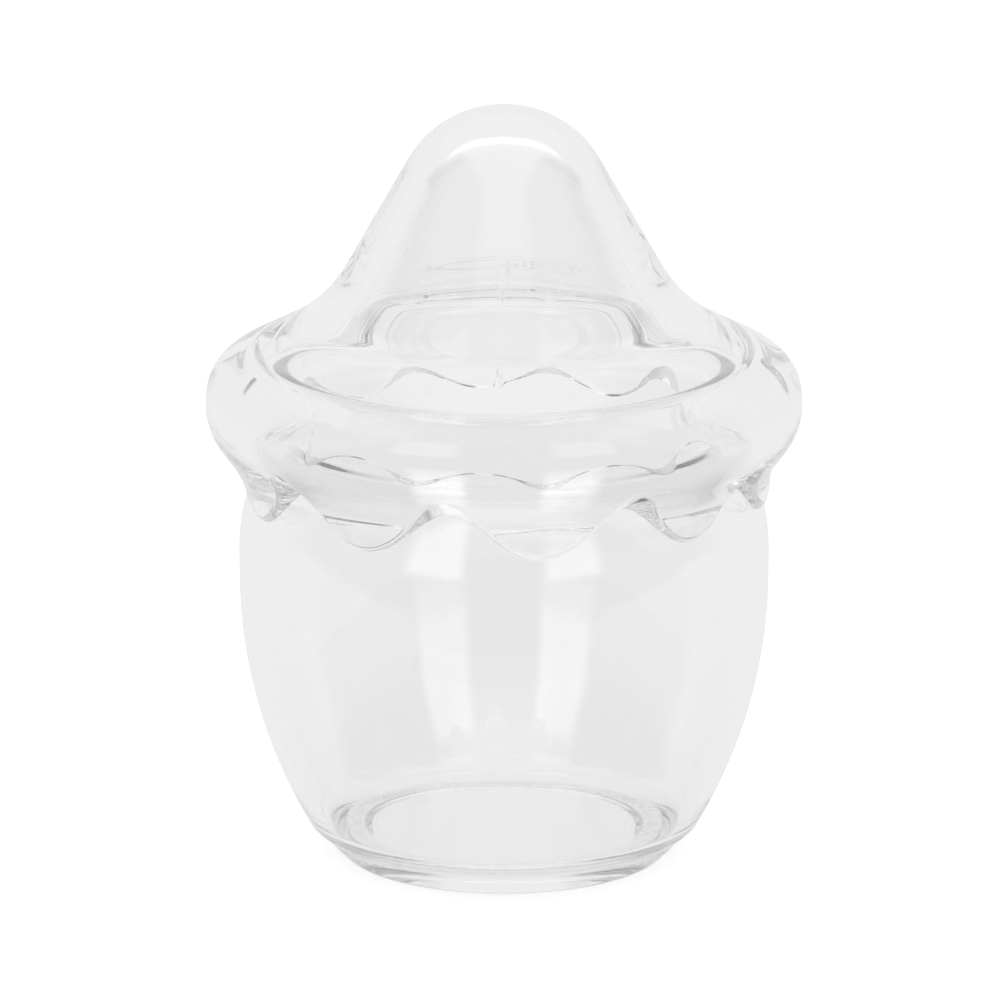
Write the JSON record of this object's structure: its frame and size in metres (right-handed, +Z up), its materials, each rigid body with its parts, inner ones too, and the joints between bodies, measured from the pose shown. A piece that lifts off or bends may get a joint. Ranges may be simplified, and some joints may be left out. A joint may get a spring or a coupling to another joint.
{
  "type": "small lidded glass jar",
  "caption": "Small clear pressed-glass jar with a rounded body and a loose domed lid whose skirt ends in a wavy edge, empty.",
  "frame": {"origin": "centre of the foot, on the surface the jar stands on", "axes": "+Z up along the jar's axis to the tip of the lid, -Y towards the front of the jar, +X to its right"},
  "size_m": [0.0896, 0.0896, 0.1147],
  "materials": {
    "glass": "gloss"
  },
  "bodies": {
    "root": {"jar": "glass", "lid": "glass"}
  },
  "joints": []
}
